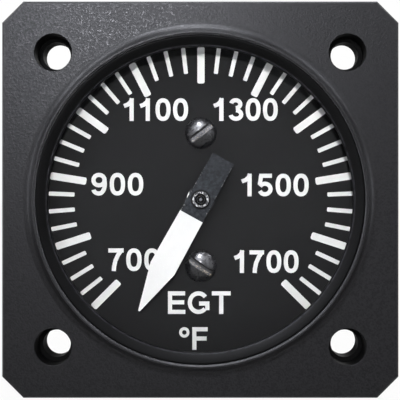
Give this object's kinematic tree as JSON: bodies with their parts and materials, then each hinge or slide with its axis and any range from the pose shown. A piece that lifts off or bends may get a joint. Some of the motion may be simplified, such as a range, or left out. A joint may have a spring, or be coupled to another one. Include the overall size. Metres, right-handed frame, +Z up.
{
  "type": "exhaust gas temperature gauge",
  "caption": "Square-fronted panel gauge with a round glass, a lance pointer over a black dial, a round rear case and threaded terminal studs.",
  "frame": {"origin": "on the pointer's axis, at the flange's rear face, which is the centre of the four panel screw holes", "axes": "+Z up, +X to the pilot's right, +Y from the front back along the case; the dial faces -Y"},
  "size_m": [0.0634, 0.0596, 0.0634],
  "materials": {
    "bezel_black": "fine sand-textured moulding",
    "ring_black": "satin black enamel",
    "window_glass": "polished flat window",
    "gasket_rubber": "soft matt rubber",
    "dial_black": "matt black dial paint with white print",
    "screw_black": "glossy black oxide",
    "turned_brass": "turned",
    "plate_aluminium": "brushed",
    "bright_steel": "bright plated",
    "magnet_grey": "ground sintered magnet",
    "pointer_paint": "matt white blade and matt black tail",
    "hub_dark": "darkened turned steel",
    "spring_bronze": "fine bronze strip",
    "natural_nylon": "natural moulding",
    "jewel_red": "polished synthetic jewel",
    "copper_wire": "enamelled copper wire",
    "shield_steel": "annealed drawn sheet",
    "board_green": "solder-masked glass laminate",
    "chip_black": "moulded epoxy",
    "capacitor_sleeve": "shrunk sleeve",
    "trimmer_blue": "moulded housing",
    "rotor_white": "moulded rotor",
    "case_black": "satin black enamel on drawn aluminium",
    "stud_nickel": "bare nickel alloy thread",
    "insulator_tan": "laminated insulating bush"
  },
  "bodies": {
    "case": {"bezel": "bezel_black", "retaining_ring": "ring_black", "cover_glass": "window_glass", "case_can": "case_black", "case_screws": "screw_black", "alumel_stud": "stud_nickel", "chromel_stud": "stud_nickel", "power_studs": "turned_brass", "stud_insulators": "insulator_tan", "glass_gasket": "gasket_rubber", "dial_screws": "screw_black", "dial_posts": "turned_brass", "movement_plate": "plate_aluminium", "front_bearing": "turned_brass", "stop_pin": "bright_steel", "hairspring": "spring_bronze", "hairspring_stud": "turned_brass", "bobbin_front": "natural_nylon", "bobbin_rear": "natural_nylon", "rear_jewel": "jewel_red", "inner_coil": "copper_wire", "outer_coil": "copper_wire", "coil_pins": "bright_steel", "shield_cup": "shield_steel", "shield_screws": "bright_steel", "board_pillars": "turned_brass", "circuit_board": "board_green", "board_screws": "bright_steel", "driver_chip": "chip_black", "amplifier_chip": "chip_black", "voltage_regulator": "chip_black", "filter_capacitors": "capacitor_sleeve", "zero_trimmer_body": "trimmer_blue", "span_trimmer_body": "trimmer_blue", "stud_washers": "insulator_tan", "stud_nuts": "bright_steel", "dial_plate": "dial_black"},
    "pointer": {"staff": "hub_dark", "rotor_magnet": "magnet_grey", "pointer": "pointer_paint", "pointer_hub": "hub_dark", "stop_arm": "turned_brass", "hairspring_collet": "turned_brass"},
    "zero_trimmer": {"zero_trimmer_rotor": "rotor_white"},
    "span_trimmer": {"span_trimmer_rotor": "rotor_white"}
  },
  "joints": [
    {"name": "pointer_sweep", "type": "hinge", "parent": "case", "child": "pointer", "pos_m": [0, 0, 0], "axis": [0, 1, 0], "range_deg": [0, 302], "stiffness_Nm_per_rad": 0.00002, "springref_deg": -34.38, "deforming": ["hairspring"]},
    {"name": "zero_trimmer_turn", "type": "hinge", "parent": "case", "child": "zero_trimmer", "pos_m": [-0.016, 0.03, 0.0045], "axis": [0, 1, 0], "range_deg": [-135, 135]},
    {"name": "span_trimmer_turn", "type": "hinge", "parent": "case", "child": "span_trimmer", "pos_m": [0.016, 0.03, 0.0045], "axis": [0, 1, 0], "range_deg": [-135, 135]}
  ]
}
